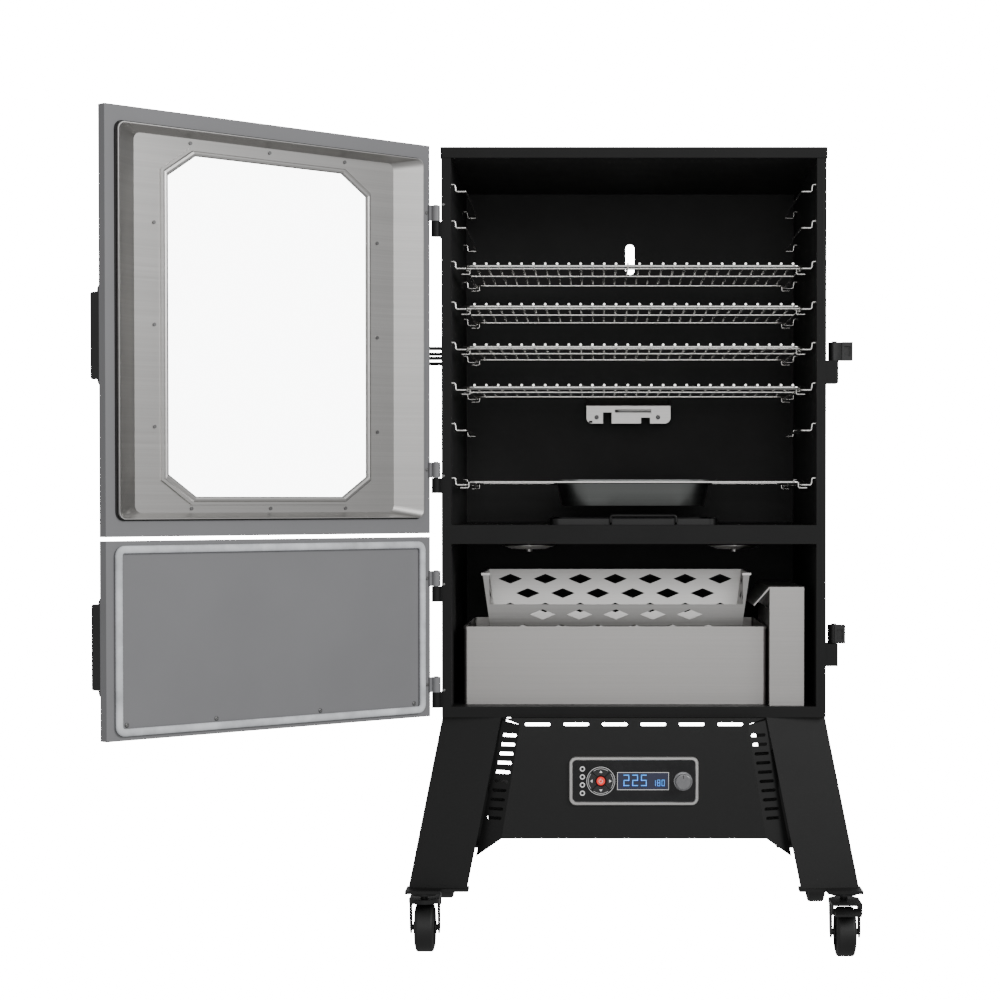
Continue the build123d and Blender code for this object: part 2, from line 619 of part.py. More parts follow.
with BuildPart() as upper_shell:
    door_pan(UPPER_DOOR_Z0, UPPER_DOOR_Z1, 24.0, 21.7)
    with BuildSketch(door_plane(0)):
        octagon(BEAD_W / 2)
    extrude(amount=DOOR_T + 1, mode=Mode.SUBTRACT)
    cap_grooves(UPPER_DOOR_Z0, UPPER_DOOR_Z1)
    door_knuckles(KNUCKLE_Z[:2])
save(upper_shell.part, "upper_door_shell")


def liner_section(out, half_w, z0, z1):
    """Rounded rectangle of the liner tray at one depth."""
    with BuildSketch(door_plane(out)) as outline:
        with Locations((DOOR_MID_S, (z0 + z1) / 2)):
            RectangleRounded(2 * half_w, z1 - z0, LINER_CORNER_R)
    return outline.sketch.face()


LINER_FLOOR = LINER_DEPTH - LINER_PROUD
with BuildPart() as upper_liner:
    extrude(liner_section(-LINER_PROUD, LINER_HALF_W, LINER_Z0, LINER_Z1), amount=LINER_PROUD)
    floor_half_w = LINER_HALF_W - LINER_SLOPE_W
    floor_z0 = LINER_Z0 + LINER_SLOPE_H
    floor_z1 = LINER_Z1 - LINER_SLOPE_H
    loft([liner_section(0, LINER_HALF_W - 9.5, LINER_Z0 + 1.6, LINER_Z1 - 2.7),
          liner_section(LINER_FLOOR, floor_half_w, floor_z0, floor_z1)])
    loft([liner_section(-LINER_PROUD, LINER_HALF_W - SHEET, LINER_Z0 + SHEET, LINER_Z1 - SHEET),
          liner_section(LINER_FLOOR - SHEET, floor_half_w, floor_z0 + 3.5, floor_z1 - 3.5)],
         mode=Mode.SUBTRACT)
    with BuildSketch(door_plane(-LINER_PROUD)):
        octagon(0)
    extrude(amount=DOOR_T + LINER_PROUD, mode=Mode.SUBTRACT)
save(upper_liner.part, "upper_door_liner")

with BuildPart() as window_frame:
    with BuildSketch(door_plane(LINER_FLOOR - SHEET - 2.4)):
        octagon(BEAD_W)
    extrude(amount=2.4)
    with BuildSketch(door_plane(LINER_FLOOR - SHEET - 2.4)):
        octagon(0.5)
    extrude(amount=2.4, mode=Mode.SUBTRACT)
save(window_frame.part, "window_frame")

with BuildPart() as glass:
    with BuildSketch(door_plane(LINER_FLOOR - SHEET)):
        octagon(-0.3)
    extrude(amount=1.0 + DOOR_T - LINER_FLOOR - 0.5)
save(glass.part, "window_glass")

SCREW_R = 2.2
with BuildPart() as upper_screws:
    with BuildSketch(door_plane(LINER_FLOOR - SHEET - 1.4)):
        screw_z = (LINER_Z0 + 12.4, LINER_Z1 - 12.9)
        spots = [(s, z) for s in (DOOR_MID_S - 119, DOOR_MID_S, DOOR_MID_S + 119) for z in screw_z]
        edge_s = WINDOW_HALF_W + BEAD_W + 9.0
        spots += [(DOOR_MID_S + side * edge_s, z) for side in (-1, 1) for z in (675.5, 796.0, 916.5)]
        with Locations(*spots):
            Circle(SCREW_R)
    extrude(amount=1.4)
save(upper_screws.part, "upper_door_screws")

with BuildPart() as lower_shell:
    door_pan(LOWER_DOOR_Z0, LOWER_DOOR_Z1, 12.0, 12.0)
    cap_grooves(LOWER_DOOR_Z0, LOWER_DOOR_Z1)
    door_knuckles(KNUCKLE_Z[2:])
save(lower_shell.part, "lower_door_shell")

with BuildPart() as lower_panel:
    door_block(DOOR_S0 + 2.5, DOOR_S1 - 2.5, LOWER_DOOR_Z0 + 2.5, LOWER_DOOR_Z1 - 2.5,
               DOOR_SHEET, 2 * DOOR_SHEET)
    door_block(DOOR_S0 + 12.2, DOOR_S1 - 12.2, LOWER_DOOR_Z0 + 12.2, LOWER_DOOR_Z1 - 12.2,
               0, DOOR_SHEET)
save(lower_panel.part, "lower_door_panel")

GASKET_W = 9.5
GASKET_PROUD = 6.5
with BuildPart() as gasket:
    with BuildSketch(door_plane(-GASKET_PROUD)):
        with Locations((DOOR_MID_S, (LOWER_DOOR_Z0 + LOWER_DOOR_Z1) / 2)):
            RectangleRounded(478, 223, 12)
            RectangleRounded(478 - 2 * GASKET_W, 223 - 2 * GASKET_W, 5, mode=Mode.SUBTRACT)
    extrude(amount=GASKET_PROUD)
save(gasket.part, "lower_door_gasket")


def door_handle(z0, z1):
    """Upright pull on the outer face near the free edge, hollow behind the grip."""
    door_block(HANDLE_S0 - 2, HANDLE_S1 + 2, z0 - 9, z1 + 9, DOOR_T, DOOR_T + 3, corner=8)
    door_block(HANDLE_S0, HANDLE_S1, z0, z1, DOOR_T, DOOR_T + HANDLE_OUT, corner=3)
    door_block(HANDLE_S0 - 1, HANDLE_S0 + 15, z0 + 16, z1 - 16, DOOR_T + 3, DOOR_T + 14,
               mode=Mode.SUBTRACT)


for handle_name, span in (("upper_door_handle", UPPER_HANDLE_Z), ("lower_door_handle", LOWER_HANDLE_Z)):
    with BuildPart() as handle:
        door_handle(*span)
    save(handle.part, handle_name)

with BuildPart() as hinge_pins:
    knuckles(KNUCKLE_Z, False)
    for z in KNUCKLE_Z:
        with BuildSketch(Plane.XY.offset(z - KNUCKLE_H)):
            with Locations((HINGE_X, HINGE_Y)):
                Circle(PIN_R)
        extrude(amount=2 * KNUCKLE_H + 1)
        box_between(HINGE_X - 1, -HALF_W, FRONT_Y - 2.6, FRONT_Y, z - KNUCKLE_H, z - 0.4)
        box_between(-HALF_W - 2, -HALF_W, FRONT_Y - 2.6, FRONT_Y + 22, z - KNUCKLE_H, z - 0.4)
save(hinge_pins.part, "hinge_pins")

# --- Latches on the right wall and handle on the left wall -------------------
LATCH_X = HALF_W + 12.0
LATCH_Y = FRONT_Y + 12.0
LATCH_PIN_R = 3.5
LATCH_Z = (770.0, 401.0)
with BuildPart() as latch_bases:
    for z in LATCH_Z:
        box_between(HALF_W, HALF_W + 16, FRONT_Y + 2, FRONT_Y + 40, z - 29, z)
        with BuildSketch(Plane.XY.offset(z - 2)):
            with Locations((LATCH_X, LATCH_Y + 8)):
                Circle(LATCH_PIN_R)
        extrude(amount=28)
save(latch_bases.part, "latch_bases")


def latch_arm(z, reach, name):
    """Swinging latch arm on an upright pin, pointing away from the wall."""
    with BuildPart() as arm:
        with BuildSketch(Plane.XY.offset(z + 0.5)):
            with Locations((LATCH_X, LATCH_Y + 8)):
                Circle(8.0)
            with Locations((LATCH_X + reach / 2, LATCH_Y + 5)):
                Rectangle(reach, 10)
            with Locations((LATCH_X + reach - 7, LATCH_Y + 3)):
                Rectangle(14, 18)
        extrude(amount=24)
        with BuildSketch(Plane.XY.offset(z)):
            with Locations((LATCH_X, LATCH_Y + 8)):
                Circle(LATCH_PIN_R + RUNNING_GAP)
        extrude(amount=30, mode=Mode.SUBTRACT)
        box_between(LATCH_X + reach - 11, LATCH_X + reach - 3, LATCH_Y - 8, LATCH_Y - 3,
                    z + 6, z + 19, Mode.SUBTRACT)
    save(arm.part, name)


latch_arm(LATCH_Z[0], 23.0, "upper_latch_arm")
latch_arm(LATCH_Z[1], 14.0, "lower_latch_arm")

SIDE_HANDLE_OUT = 32.0
with BuildPart() as side_handle:
    for z in (776.0, 789.0):
        wire([(-HALF_W, FRONT_Y + 60, z), (-HALF_W - SIDE_HANDLE_OUT, FRONT_Y + 60, z),
              (-HALF_W - SIDE_HANDLE_OUT, FRONT_Y + 190, z), (-HALF_W, FRONT_Y + 190, z)], 2.4, 8)
save(side_handle.part, "side_handle")


# --- Legs --------------------------------------------------------------------
def leg_profile(z, x_in, x_out, y_in, y_out, back):
    """Bent sheet section: angled face plate with a flange running back from its outer edge."""
    sheet = LEG_SHEET if x_out > 0 else -LEG_SHEET
    sheet_y = LEG_SHEET if back > y_out else -LEG_SHEET
    with BuildSketch(Plane.XY.offset(z)) as section:
        with BuildLine():
            Polyline((x_in, y_in), (x_out, y_out), (x_out, back), (x_out - sheet, back),
                     (x_out - sheet, y_out + sheet_y), (x_in, y_in + sheet_y), close=True)
        make_face()
    return section.sketch.face()


with BuildPart() as legs:
    for side in (-1, 1):
        for y_edge, way in ((FRONT_Y, 1), (BACK_Y, -1)):
            foot = leg_profile(LEG_FOOT_Z - FOOT_T / 2, side * 217, side * 294, y_edge - way * 16,
                               y_edge - way * 4, y_edge + way * 34)
            lean = Vector(-side * LEG_SPLAY_X, way * LEG_SPLAY_Y, LEG_TOP_Z - LEG_FOOT_Z + FOOT_T / 2)
            add(Solid.extrude(foot, lean))
            for x_in, y_out in ((215, 19), (250, 38)):
                plate_x = sorted((side * x_in, side * 296))
                plate_y = sorted((y_edge - way * y_out, y_edge + way * 8))
                box_between(*plate_x, *plate_y, LEG_FOOT_Z - FOOT_T, LEG_FOOT_Z)
save(legs.part, "legs")

# --- Apron with gussets ------------------------------------------------------
APRON_TOP_Z = FLOOR_Z0
APRON_FLANGE_X = 160.0
APRON_LOW_Z = 148.6
SLOT_PITCH = 12.0
GUSSET_SLOTS = 10
GUSSET_SLOT_Z = 282.8
with BuildPart() as apron:
    with BuildSketch(front_plane(APRON_Y + APRON_T)):
        with BuildLine():
            Polyline((-172, APRON_LOW_Z), (172, APRON_LOW_Z), (148, 297), (170, APRON_TOP_Z),
                     (-170, APRON_TOP_Z), (-148, 297), close=True)
        make_face()
        with GridLocations(50, 1, 6, 1):
            with Locations((0, 297.5)):
                SlotOverall(33, 4.3, mode=Mode.SUBTRACT)
        with Locations((KNOB_X, PANEL_Z), (PAD_X, PANEL_Z)):
            Circle(6.5, mode=Mode.SUBTRACT)
    extrude(amount=APRON_T)
    box_between(-APRON_FLANGE_X, APRON_FLANGE_X, APRON_Y, FRONT_Y + 10, APRON_TOP_Z - APRON_T, APRON_TOP_Z)
    for side in (-1, 1):
        low = Vector(side * 172, APRON_Y + APRON_T, APRON_LOW_Z)
        high = Vector(side * 148, APRON_Y + APRON_T, 297)
        along = high - low
        back = Vector(side * 30, 15, 0)
        skin = Face(Wire.make_polygon([low, low + back - along * 0.17, high + back * 0.8 + along * 0.03,
                                       high], close=True))
        add(Solid.extrude(skin, Vector(0, -1, 0) * APRON_T))
    with BuildSketch(front_plane(FRONT_Y + 10)):
        for row in range(GUSSET_SLOTS):
            slot_x = 162.0 + 2.2 * row
            slot_z = GUSSET_SLOT_Z - row * SLOT_PITCH
            with Locations((-slot_x, slot_z), (slot_x, slot_z)):
                SlotOverall(19.5, 4.3)
    extrude(amount=40, mode=Mode.SUBTRACT)
save(apron.part, "front_apron")

ELECTRONICS_WING_X = 192.0
ELECTRONICS_WING_Y = FRONT_Y + 42
with BuildPart() as electronics:
    box_between(-92, 92, APRON_Y + APRON_T, FRONT_Y + 90, 186, 262)
    box_between(-150, 150, FRONT_Y + 6, FRONT_Y + 150, 152, 205)
    fillet(electronics.edges().filter_by(Axis.Z), 3)
    box_between(90, ELECTRONICS_WING_X, ELECTRONICS_WING_Y, FRONT_Y + 88, 152, 255)
    box_between(-ELECTRONICS_WING_X, -148, ELECTRONICS_WING_Y, FRONT_Y + 146, 152, 210)
save(electronics.part, "electronics_box")

with BuildPart() as gland:
    with BuildSketch(front_plane(FRONT_Y + 150 + 16)):
        with Locations((90, 178)):
            Circle(8)
            Circle(3.6, mode=Mode.SUBTRACT)
    extrude(amount=16)
    with BuildSketch(front_plane(FRONT_Y + 150 + 5)):
        with Locations((90, 178)):
            RegularPolygon(11, 6)
            Circle(7.9, mode=Mode.SUBTRACT)
    extrude(amount=5)
save(gland.part, "cord_gland")


# --- Control panel -----------------------------------------------------------
FACE_Y = APRON_Y - FACE_T
with BuildPart() as bezel:
    with BuildSketch(front_plane(APRON_Y)):
        with Locations((0, PANEL_Z)):
            RectangleRounded(PANEL_W, PANEL_H, 9)
            RectangleRounded(PANEL_W - 9, PANEL_H - 9, 5, mode=Mode.SUBTRACT)
    extrude(amount=FACE_T + 1.5)
    chamfer(bezel.edges().group_by(Axis.Y)[0], 1.0)
save(bezel.part, "control_bezel")

with BuildPart() as face:
    with BuildSketch(front_plane(APRON_Y)):
        with Locations((0, PANEL_Z)):
            RectangleRounded(PANEL_W - 9, PANEL_H - 9, 5)
        with Locations((PAD_X, PANEL_Z)):
            Circle(PAD_R + KEY_GAP, mode=Mode.SUBTRACT)
        with Locations((KNOB_X, PANEL_Z)):
            Circle(3.0 + RUNNING_GAP, mode=Mode.SUBTRACT)
    extrude(amount=FACE_T)
    with BuildSketch(front_plane(FACE_Y + 1.0)):
        with Locations((DISPLAY_X, PANEL_Z)):
            RectangleRounded(DISPLAY_W, DISPLAY_H, 2)
    extrude(amount=1.0, mode=Mode.SUBTRACT)
save(face.part, "control_face")

with BuildPart() as display:
    with BuildSketch(front_plane(FACE_Y + 1.0)):
        with Locations((DISPLAY_X, PANEL_Z)):
            RectangleRounded(DISPLAY_W, DISPLAY_H, 2)
    extrude(amount=1.4)
save(display.part, "display_window")

KEY_T = 2.4
KEY_BACK_Y = FACE_Y - KEY_PROUD + KEY_T
KEY_NAMES = ("pad_key_right", "pad_key_up", "pad_key_left", "pad_key_down")
for number, key_name in enumerate(KEY_NAMES):
    with BuildPart() as key:
        with BuildSketch(front_plane(KEY_BACK_Y)):
            with Locations(Location((PAD_X, PANEL_Z), number * 90 - 45)):
                reach = PAD_R * 1.5
                Polygon((KEY_GAP, 0.0), (KEY_GAP + reach, 0.0), (KEY_GAP + reach, reach), (KEY_GAP, reach),
                        align=None)
            with Locations(Location((PAD_X, PANEL_Z), number * 90 - 45)):
                with Locations((0, reach / 2 + KEY_GAP / 2 - reach / 2)):
                    Rectangle(2 * reach + 2, KEY_GAP, mode=Mode.SUBTRACT)
            with Locations((PAD_X, PANEL_Z)):
                Circle(PAD_R, mode=Mode.INTERSECT)
                Circle(POWER_R + 2 * KEY_GAP + 1.2, mode=Mode.SUBTRACT)
        extrude(amount=KEY_T)
        fillet(key.faces().sort_by(Axis.Y)[0].edges(), 0.3)
    save(key.part, key_name)

with BuildPart() as power:
    with BuildSketch(front_plane(KEY_BACK_Y)):
        with Locations((PAD_X, PANEL_Z)):
            Circle(POWER_R)
    extrude(amount=KEY_T + 0.6)
    fillet(power.faces().sort_by(Axis.Y)[0].edges(), 0.6)
save(power.part, "power_button")

with BuildPart() as knob:
    with BuildSketch(front_plane(FACE_Y - 0.4)):
        with Locations((KNOB_X, PANEL_Z)):
            Circle(KNOB_R + 1.6)
    extrude(amount=2.0)
    with BuildSketch(front_plane(FACE_Y - 2.4)):
        with Locations((KNOB_X, PANEL_Z)):
            Circle(KNOB_R)
    extrude(amount=11, taper=3)
    fillet(knob.faces().sort_by(Axis.Y)[0].edges(), 0.8)
    with BuildSketch(front_plane(FACE_Y - 0.4)):
        with Locations((KNOB_X, PANEL_Z)):
            Circle(3.0)
    extrude(amount=-5)
save(knob.part, "control_knob")

# --- Casters -----------------------------------------------------------------
# The left pair trails backwards and the right pair forwards.
CASTERS = {
    "front_left": (-CASTER_X, CASTER_FRONT_Y, 1),
    "front_right": (CASTER_X, CASTER_FRONT_Y, -1),
    "rear_left": (-CASTER_X, CASTER_REAR_Y, 1),
    "rear_right": (CASTER_X, CASTER_REAR_Y, -1),
}
PLATE_Z = LEG_FOOT_Z - FOOT_T
FORK_TOP_Z = 73.0
STEM_R = 5.0
CHEEK_T = 2.5
BRAKE_REACH = 26.0
BRAKE_Z = 62.0
BRAKE_PIN_R = 1.6
with BuildPart() as caster_plates:
    for x, y, trail in CASTERS.values():
        with BuildSketch(Plane.XY.offset(PLATE_Z - 3)):
            with Locations((x, y)):
                Circle(17)
        extrude(amount=3)
        with BuildSketch(Plane.XY.offset(FORK_TOP_Z - 6)):
            with Locations((x, y)):
                Circle(STEM_R)
        extrude(amount=PLATE_Z - FORK_TOP_Z + 6)
save(caster_plates.part, "caster_plates")


def caster_fork(x, y, trail, name, braked):
    """Swivel head with two cheeks and the axle for one wheel, and a brake hinge if it has one."""
    axle_y = y + trail * CASTER_TRAIL
    with BuildPart() as fork:
        with BuildSketch(Plane.XY.offset(FORK_TOP_Z - 6)):
            with Locations((x, y)):
                Circle(20)
            with Locations((x, y + trail * 10)):
                Rectangle(FORK_W, 22)
        extrude(amount=5.4)
        for cheek in (-1, 1):
            outer = x + cheek * FORK_W / 2
            with BuildSketch(Plane.YZ.offset(outer - (CHEEK_T if cheek > 0 else 0))):
                with BuildLine():
                    Polyline((y - trail * 1, FORK_TOP_Z - 2), (axle_y + trail * 4, FORK_TOP_Z - 2),
                             (axle_y + trail * 9, WHEEL_R), (axle_y, WHEEL_R - 8),
                             (axle_y - trail * 9, WHEEL_R), close=True)
                make_face()
            extrude(amount=CHEEK_T)
        with BuildSketch(Plane.YZ.offset(x - FORK_W / 2)):
            with Locations((axle_y, WHEEL_R)):
                Circle(AXLE_R)
        extrude(amount=FORK_W)
        with BuildSketch(Plane.XY.offset(FORK_TOP_Z - 10)):
            with Locations((x, y)):
                Circle(STEM_R + RUNNING_GAP)
        extrude(amount=12, mode=Mode.SUBTRACT)
        if braked:
            pivot_y = axle_y + trail * BRAKE_REACH
            tongue = sorted((y + trail * 12, pivot_y + trail * 4))
            box_between(x - FORK_W / 2, x + FORK_W / 2, *tongue, FORK_TOP_Z - 3.6, FORK_TOP_Z - 0.6)
            ears = sorted((pivot_y - 4, pivot_y + 4))
            box_between(x - FORK_W / 2, x - FORK_W / 2 + CHEEK_T, *ears, BRAKE_Z - 4, FORK_TOP_Z - 2)
            box_between(x + FORK_W / 2 - CHEEK_T, x + FORK_W / 2, *ears, BRAKE_Z - 4, FORK_TOP_Z - 2)
            with BuildSketch(Plane.YZ.offset(x - FORK_W / 2)):
                with Locations((pivot_y, BRAKE_Z)):
                    Circle(BRAKE_PIN_R)
            extrude(amount=FORK_W)
    save(fork.part, name)


def caster_wheel(x, y, trail, name):
    """Tyre and hub bored for the axle."""
    axle_y = y + trail * CASTER_TRAIL
    with BuildPart() as wheel:
        with BuildSketch(Plane.YZ.offset(x - WHEEL_W / 2)):
            with Locations((axle_y, WHEEL_R)):
                Circle(WHEEL_R)
        extrude(amount=WHEEL_W)
        fillet(wheel.edges().filter_by(GeomType.CIRCLE), 4)
        for cheek in (-1, 1):
            start = x + cheek * WHEEL_W / 2
            with BuildSketch(Plane.YZ.offset(start)):
                with Locations((axle_y, WHEEL_R)):
                    Circle(22)
                    Circle(9, mode=Mode.SUBTRACT)
            extrude(amount=-cheek * 3, mode=Mode.SUBTRACT)
        with BuildSketch(Plane.YZ.offset(x - WHEEL_W / 2 - 3)):
            with Locations((axle_y, WHEEL_R)):
                Circle(7.5)
        extrude(amount=WHEEL_W + 6)
        with BuildSketch(Plane.YZ.offset(x - WHEEL_W)):
            with Locations((axle_y, WHEEL_R)):
                Circle(AXLE_R + RUNNING_GAP)
        extrude(amount=2 * WHEEL_W, mode=Mode.SUBTRACT)
    save(wheel.part, name)


for corner, (caster_x, caster_y, caster_trail) in CASTERS.items():
    caster_fork(caster_x, caster_y, caster_trail, f"{corner}_fork", corner.startswith("front"))
    caster_wheel(caster_x, caster_y, caster_trail, f"{corner}_wheel")


def brake_lever(x, y, trail, name):
    """Foot lever that turns on the fork's rear pin and reaches past the wheel."""
    pivot_y = y + trail * (CASTER_TRAIL + BRAKE_REACH)
    half_w = FORK_W / 2 - CHEEK_T - 0.4
    with BuildPart() as lever:
        with BuildSketch(Plane.YZ.offset(x - half_w)):
            with Locations((pivot_y, BRAKE_Z)):
                Circle(4.0)
            with BuildLine():
                Polyline((pivot_y, BRAKE_Z + 4), (pivot_y + trail * 25, BRAKE_Z),
                         (pivot_y + trail * 25, BRAKE_Z - 3), (pivot_y, BRAKE_Z - 1), close=True)
            make_face()
            with Locations((pivot_y, BRAKE_Z)):
                Circle(BRAKE_PIN_R + RUNNING_GAP, mode=Mode.SUBTRACT)
        extrude(amount=2 * half_w)
    save(lever.part, name)


brake_lever(*CASTERS["front_left"], "front_left_brake")
brake_lever(*CASTERS["front_right"], "front_right_brake")
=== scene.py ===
import bpy
import bmesh
import json
from math import cos, pi, radians, sin
from mathutils import Matrix, Vector


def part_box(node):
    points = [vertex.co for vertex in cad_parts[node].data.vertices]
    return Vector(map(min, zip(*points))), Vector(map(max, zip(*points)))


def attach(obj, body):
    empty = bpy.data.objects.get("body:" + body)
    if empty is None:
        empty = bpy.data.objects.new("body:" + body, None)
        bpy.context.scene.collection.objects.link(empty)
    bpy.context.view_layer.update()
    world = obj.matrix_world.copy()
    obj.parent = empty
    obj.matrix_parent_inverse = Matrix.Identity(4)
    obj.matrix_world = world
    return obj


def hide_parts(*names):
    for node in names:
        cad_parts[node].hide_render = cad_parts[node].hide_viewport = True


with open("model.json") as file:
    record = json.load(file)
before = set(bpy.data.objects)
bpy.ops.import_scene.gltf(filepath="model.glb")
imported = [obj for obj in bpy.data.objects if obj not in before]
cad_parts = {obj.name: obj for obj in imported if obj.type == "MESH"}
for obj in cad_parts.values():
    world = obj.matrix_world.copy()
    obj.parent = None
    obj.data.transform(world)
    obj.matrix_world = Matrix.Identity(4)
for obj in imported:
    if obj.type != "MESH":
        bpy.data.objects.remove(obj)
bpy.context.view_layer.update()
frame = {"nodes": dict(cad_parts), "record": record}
NODES = frame["nodes"]
NODE_SLOT = {row["node"]: row["material_slot"] for row in frame["record"]["subparts"]}

# Door frame: distances run from the hinge axis along the open door, and outwards from its inner face.
OPEN = radians(134.7)
HINGE = Vector((-0.257, -0.2065, 0))
ALONG = Vector((cos(OPEN), -sin(OPEN), 0))
OUTWARD = Vector((-sin(OPEN), -cos(OPEN), 0))
DOOR_GAP = 0.004
DOOR_MID = 0.257
FRONT_Y = -0.2025
FACE_Y = FRONT_Y - 0.012 - 0.003
PANEL_Z = 0.224
PAD_X = -0.043
PAD_RING_R = 0.0182
KNOB_X = 0.0638
KNOB_R = 0.0101
INDICATOR_X = -0.0669
INDICATOR_HEIGHTS = (0.2397, 0.2293, 0.2189, 0.2082)
LOWER_PANEL_SCREW_Z = 0.3258
LOWER_PANEL_SCREW_S = (0.035, 0.19, 0.35, 0.479)
HINGE_SCREW_S = (0.0125, 0.0205)
HINGE_SCREW_HEIGHTS = {"upper_door": (0.960, 0.628), "lower_door": (0.487, 0.349)}
WALL_SCREW_X = -0.2475
WALL_SCREW_HEIGHTS = (0.972, 0.620, 0.479, 0.341)
GUARD_SCREW_Z = 0.708
SEGMENTS = {"0": "abcdef", "2": "abged", "5": "afgcd", "1": "bc", "8": "abcdefg"}


# --- Camera and light --------------------------------------------------------
def make_camera():
    data = bpy.data.cameras.new("camera")
    data.lens = 90.65
    data.sensor_width = 36
    data.shift_x = -0.0971
    data.shift_y = 0.052
    camera = bpy.data.objects.new("camera", data)
    camera.location = (-0.0478, FRONT_Y - 3.276, 0.5887)
    camera.rotation_euler = (radians(90 - 1.183), 0, 0)
    bpy.context.scene.collection.objects.link(camera)
    bpy.context.scene.camera = camera


def area_light(name, place, target, size, power):
    data = bpy.data.lights.new(name, "AREA")
    data.shape = "RECTANGLE"
    data.size = size[0]
    data.size_y = size[1]
    data.energy = power
    lamp = bpy.data.objects.new(name, data)
    lamp.location = place
    lamp.rotation_euler = (Vector(target) - Vector(place)).to_track_quat("-Z", "Y").to_euler()
    bpy.context.scene.collection.objects.link(lamp)


def math_node(tree, operation, first, second):
    """Sum, product or comparison of a socket with another socket or a number."""
    node = tree.nodes.new("ShaderNodeMath")
    node.operation = operation
    tree.links.new(first, node.inputs[0])
    if isinstance(second, float):
        node.inputs[1].default_value = second
    else:
        tree.links.new(second, node.inputs[1])
    return node.outputs["Value"]


def make_stage():
    """Soft grey surroundings that the camera, and the view through the window, see as pure white."""
    world = bpy.data.worlds.new("studio")
    world.use_nodes = True
    tree = world.node_tree
    backdrop = tree.nodes["Background"]
    surroundings = tree.nodes.new("ShaderNodeBackground")
    backdrop.inputs[0].default_value = (1, 1, 1, 1)
    backdrop.inputs[1].default_value = 18.0
    surroundings.inputs[0].default_value = (1, 1, 1, 1)
    surroundings.inputs[1].default_value = 0.38
    rays = tree.nodes.new("ShaderNodeLightPath")
    bounces = math_node(tree, "ADD", rays.outputs["Diffuse Depth"], rays.outputs["Glossy Depth"])
    direct = math_node(tree, "LESS_THAN", bounces, 0.5)
    through_glass = math_node(tree, "MULTIPLY", rays.outputs["Is Transmission Ray"], direct)
    seen = math_node(tree, "MAXIMUM", rays.outputs["Is Camera Ray"], through_glass)
    mix = tree.nodes.new("ShaderNodeMixShader")
    tree.links.new(seen, mix.inputs["Fac"])
    tree.links.new(surroundings.outputs["Background"], mix.inputs[1])
    tree.links.new(backdrop.outputs["Background"], mix.inputs[2])
    tree.links.new(mix.outputs["Shader"], tree.nodes["World Output"].inputs["Surface"])
    bpy.context.scene.world = world
    area_light("key", (2.4, -2.4, 1.9), (-0.1, 0, 0.6), (1.4, 1.4), 70)
    area_light("fill", (-2.6, -2.4, 1.6), (-0.2, 0, 0.6), (1.8, 1.8), 6)
    area_light("front", (0.1, -3.6, 1.1), (0, 0, 0.6), (1.2, 1.6), 20)


# --- Materials ---------------------------------------------------------------
def new_shader(name, rough, metallic=0.0):
    mat = bpy.data.materials.new(name)
    mat.use_nodes = True
    shader = mat.node_tree.nodes["Principled BSDF"]
    shader.inputs["Roughness"].default_value = rough
    shader.inputs["Metallic"].default_value = metallic
    return mat, mat.node_tree, shader


def noise(tree, scale, stretch=(1, 1, 1), detail=4.0, coords="Object"):
    place = tree.nodes.new("ShaderNodeTexCoord")
    mapping = tree.nodes.new("ShaderNodeMapping")
    mapping.inputs["Scale"].default_value = stretch
    tex = tree.nodes.new("ShaderNodeTexNoise")
    tex.inputs["Scale"].default_value = scale
    tex.inputs["Detail"].default_value = detail
    tree.links.new(place.outputs[coords], mapping.inputs["Vector"])
    tree.links.new(mapping.outputs["Vector"], tex.inputs["Vector"])
    return tex.outputs["Fac"]


def ramp(tree, fac, dark, light, low=0.3, high=0.7):
    node = tree.nodes.new("ShaderNodeValToRGB")
    node.color_ramp.elements[0].position = low
    node.color_ramp.elements[1].position = high
    node.color_ramp.elements[0].color = (*dark, 1)
    node.color_ramp.elements[1].color = (*light, 1)
    tree.links.new(fac, node.inputs["Fac"])
    return node.outputs["Color"]


def span(tree, fac, low, high):
    node = tree.nodes.new("ShaderNodeMapRange")
    node.inputs["To Min"].default_value = low
    node.inputs["To Max"].default_value = high
    tree.links.new(fac, node.inputs["Value"])
    return node.outputs["Result"]


def bump(tree, shader, height, strength, distance):
    node = tree.nodes.new("ShaderNodeBump")
    node.inputs["Strength"].default_value = strength
    node.inputs["Distance"].default_value = distance
    tree.links.new(height, node.inputs["Height"])
    tree.links.new(node.outputs["Normal"], shader.inputs["Normal"])


def enamel(name, colour, rough, peel=0.25, shine=0.5):
    """Sprayed coating: slight patchiness, fine orange peel and a little change of gloss."""
    mat, tree, shader = new_shader(name, rough)
    patch = noise(tree, 7.0)
    dark = [c * 0.96 for c in colour]
    light = [c * 1.04 for c in colour]
    shader.inputs["Specular IOR Level"].default_value = shine
    tree.links.new(ramp(tree, patch, dark, light), shader.inputs["Base Color"])
    tree.links.new(span(tree, noise(tree, 23.0), rough - 0.05, rough + 0.07), shader.inputs["Roughness"])
    bump(tree, shader, noise(tree, 1400.0, detail=2.0), peel, 0.0002)
    return mat


def brushed(name, colour, rough, stretch, depth=0.06):
    """Brushed steel: fine lines drawn out along one direction, in colour, gloss and relief."""
    mat, tree, shader = new_shader(name, rough, 1.0)
    lines = noise(tree, 90.0, stretch, detail=6.0)
    dark = [c * 0.95 for c in colour]
    light = [min(1.0, c * 1.04) for c in colour]
    tree.links.new(ramp(tree, lines, dark, light), shader.inputs["Base Color"])
    tree.links.new(span(tree, lines, rough - 0.04, rough + 0.05), shader.inputs["Roughness"])
    bump(tree, shader, lines, depth, 0.0002)
    return mat


